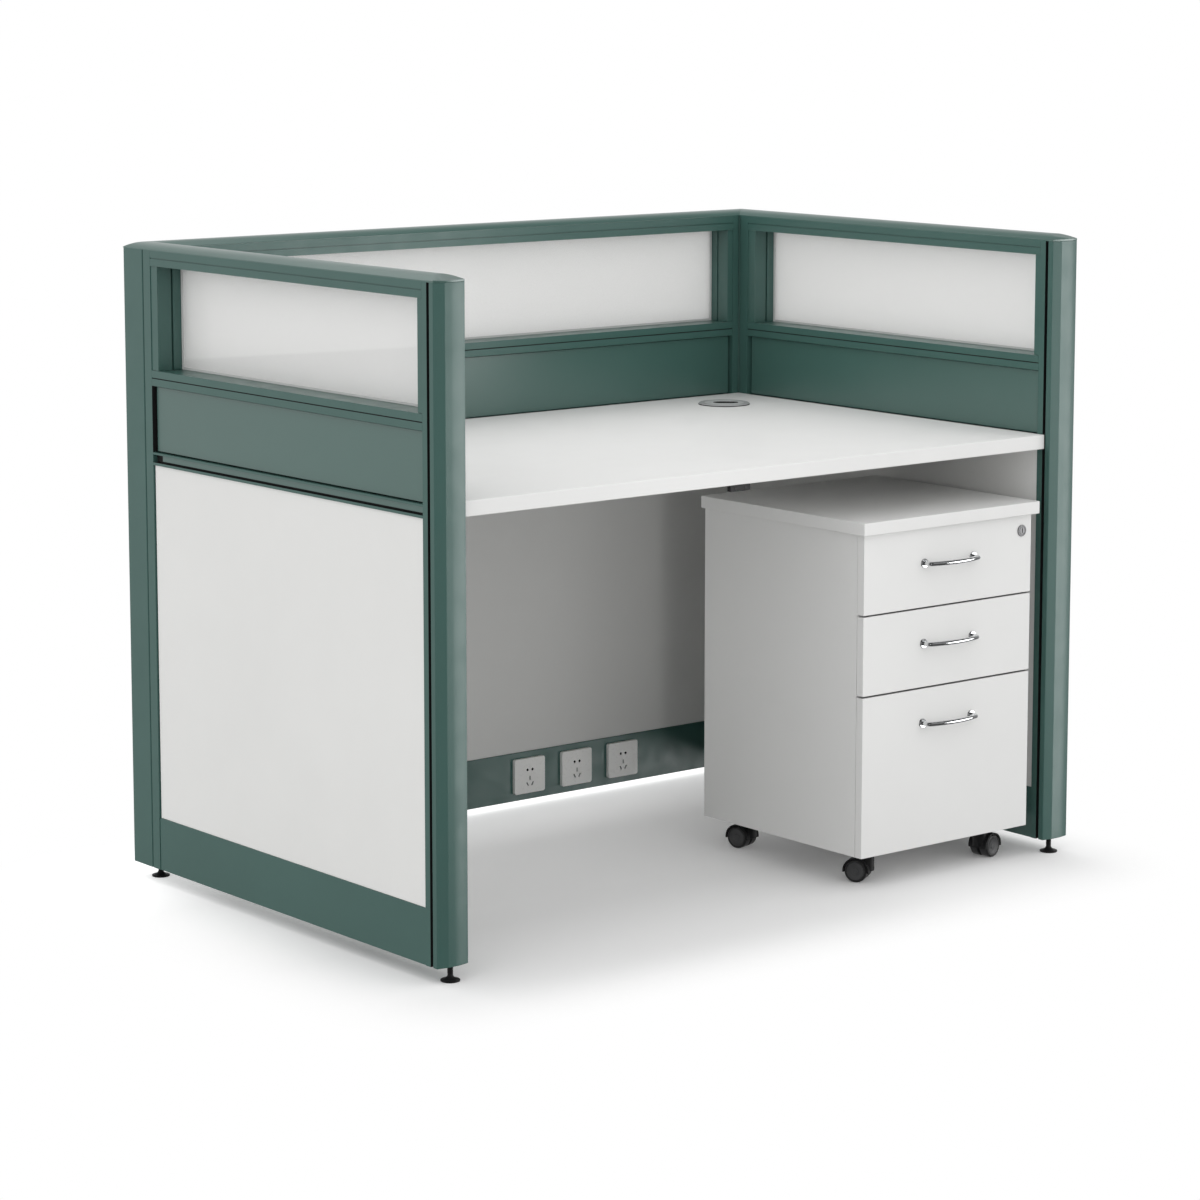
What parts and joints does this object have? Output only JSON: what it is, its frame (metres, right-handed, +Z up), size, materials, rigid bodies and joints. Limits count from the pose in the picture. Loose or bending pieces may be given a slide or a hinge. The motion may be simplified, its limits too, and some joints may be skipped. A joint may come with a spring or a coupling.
{
  "type": "cubicle workstation",
  "caption": "Cubicle workstation: glazed panel screens on three sides round a desktop, with a mobile drawer pedestal under its right side",
  "frame": {"origin": "centre of the bounding box's base, on the floor", "axes": "+X to the right along the back panel as seen from the seat, +Y to the rear, +Z up"},
  "size_m": [1.39, 0.907, 1.1],
  "materials": {
    "green_metal": "satin",
    "frosted_glass": "matte",
    "tile_board": "matte",
    "white_board": "satin",
    "drawer_board": "matte",
    "pale_rubber": "matte",
    "black_plastic": "satin",
    "wheel_plastic": "satin",
    "grommet_plastic": "satin",
    "socket_plastic": "satin",
    "black_steel": "satin",
    "zinc_steel": "satin",
    "chrome_metal": "polished"
  },
  "bodies": {
    "workstation": {"left_frame": "green_metal", "back_frame": "green_metal", "right_frame": "green_metal", "left_cap": "green_metal", "back_cap": "green_metal", "right_cap": "green_metal", "left_glass": "frosted_glass", "back_glass": "frosted_glass", "right_glass": "frosted_glass", "glazing_gaskets": "pale_rubber", "left_fascias": "green_metal", "back_fascias": "green_metal", "right_fascias": "green_metal", "left_tiles": "tile_board", "back_tiles": "tile_board", "right_tiles": "tile_board", "left_kick_covers": "green_metal", "back_kick_covers": "green_metal", "right_kick_covers": "green_metal", "left_corner_post": "green_metal", "right_corner_post": "green_metal", "left_end_post": "green_metal", "right_end_post": "green_metal", "end_covers": "green_metal", "post_bolts": "zinc_steel", "desktop": "white_board", "desk_brackets": "black_steel", "grommet_ring": "grommet_plastic", "edge_clip": "black_plastic", "sockets": "socket_plastic"},
    "grommet_lid": {"grommet_lid": "grommet_plastic"},
    "lock_barrel": {"lock_barrel": "chrome_metal"},
    "front_left_foot": {"front_left_foot": "black_plastic"},
    "front_left_castor": {"front_left_hood": "black_plastic"},
    "front_left_wheels": {"front_left_wheels": "wheel_plastic"},
    "front_right_foot": {"front_right_foot": "black_plastic"},
    "front_right_castor": {"front_right_hood": "black_plastic"},
    "front_right_wheels": {"front_right_wheels": "wheel_plastic"},
    "rear_left_foot": {"rear_left_foot": "black_plastic"},
    "rear_left_castor": {"rear_left_hood": "black_plastic"},
    "rear_left_wheels": {"rear_left_wheels": "wheel_plastic"},
    "rear_right_foot": {"rear_right_foot": "black_plastic"},
    "rear_right_castor": {"rear_right_hood": "black_plastic"},
    "rear_right_wheels": {"rear_right_wheels": "wheel_plastic"},
    "pedestal": {"pedestal_top": "white_board", "pedestal_sides": "white_board", "pedestal_back": "white_board", "pedestal_base": "white_board", "castor_plates": "zinc_steel", "cabinet_runners": "zinc_steel"},
    "upper_drawer": {"upper_drawer_front": "white_board", "upper_drawer_box": "drawer_board", "upper_handle": "chrome_metal", "lock_housing": "chrome_metal"},
    "middle_drawer": {"middle_drawer_front": "white_board", "middle_drawer_box": "drawer_board", "middle_handle": "chrome_metal"},
    "file_drawer": {"file_drawer_front": "white_board", "file_drawer_box": "drawer_board", "file_handle": "chrome_metal"}
  },
  "joints": [
    {"name": "grommet_lid_turn", "type": "hinge", "parent": "workstation", "child": "grommet_lid", "pos_m": [0.492, 0.2705, 0.7505], "axis": [0, 0, 1], "continuous": true},
    {"name": "front_left_foot_screw", "type": "slide", "parent": "workstation", "child": "front_left_foot", "axis": [0, 0, -1], "range_m": [-0.008, 0.008]},
    {"name": "front_right_foot_screw", "type": "slide", "parent": "workstation", "child": "front_right_foot", "axis": [0, 0, -1], "range_m": [-0.008, 0.008]},
    {"name": "rear_left_foot_screw", "type": "slide", "parent": "workstation", "child": "rear_left_foot", "axis": [0, 0, -1], "range_m": [-0.008, 0.008]},
    {"name": "rear_right_foot_screw", "type": "slide", "parent": "workstation", "child": "rear_right_foot", "axis": [0, 0, -1], "range_m": [-0.008, 0.008]},
    {"name": "pedestal_roll", "type": "slide", "parent": "workstation", "child": "pedestal", "axis": [0, -1, 0], "range_m": [0, 0.45]},
    {"name": "upper_drawer_slide", "type": "slide", "parent": "pedestal", "child": "upper_drawer", "axis": [0, -1, 0], "range_m": [0, 0.3]},
    {"name": "middle_drawer_slide", "type": "slide", "parent": "pedestal", "child": "middle_drawer", "axis": [0, -1, 0], "range_m": [0, 0.3]},
    {"name": "file_drawer_slide", "type": "slide", "parent": "pedestal", "child": "file_drawer", "axis": [0, -1, 0], "range_m": [0, 0.3]},
    {"name": "lock_turn", "type": "hinge", "parent": "upper_drawer", "child": "lock_barrel", "pos_m": [0.5766, -0.4255, 0.587], "axis": [0, -1, 0], "range_deg": [0, 90]},
    {"name": "front_left_castor_swivel", "type": "hinge", "parent": "pedestal", "child": "front_left_castor", "pos_m": [0.265, -0.3735, 0.058], "axis": [0, 0, 1], "continuous": true},
    {"name": "front_right_castor_swivel", "type": "hinge", "parent": "pedestal", "child": "front_right_castor", "pos_m": [0.538, -0.3735, 0.058], "axis": [0, 0, 1], "continuous": true},
    {"name": "rear_left_castor_swivel", "type": "hinge", "parent": "pedestal", "child": "rear_left_castor", "pos_m": [0.265, -0.0665, 0.058], "axis": [0, 0, 1], "continuous": true},
    {"name": "rear_right_castor_swivel", "type": "hinge", "parent": "pedestal", "child": "rear_right_castor", "pos_m": [0.538, -0.0665, 0.058], "axis": [0, 0, 1], "continuous": true},
    {"name": "front_left_wheels_roll", "type": "hinge", "parent": "front_left_castor", "child": "front_left_wheels", "pos_m": [0.25734, -0.3606, 0.02], "axis": [-0.8599, -0.5105, 0], "continuous": true},
    {"name": "front_right_wheels_roll", "type": "hinge", "parent": "front_right_castor", "child": "front_right_wheels", "pos_m": [0.55277, -0.3709, 0.02], "axis": [-0.1736, 0.9848, 0], "continuous": true},
    {"name": "rear_left_wheels_roll", "type": "hinge", "parent": "rear_left_castor", "child": "rear_left_wheels", "pos_m": [0.26079, -0.0521, 0.02], "axis": [-0.9598, -0.2807, 0], "continuous": true},
    {"name": "rear_right_wheels_roll", "type": "hinge", "parent": "rear_right_castor", "child": "rear_right_wheels", "pos_m": [0.54188, -0.05201, 0.02], "axis": [-0.9659, 0.2588, 0], "continuous": true}
  ]
}
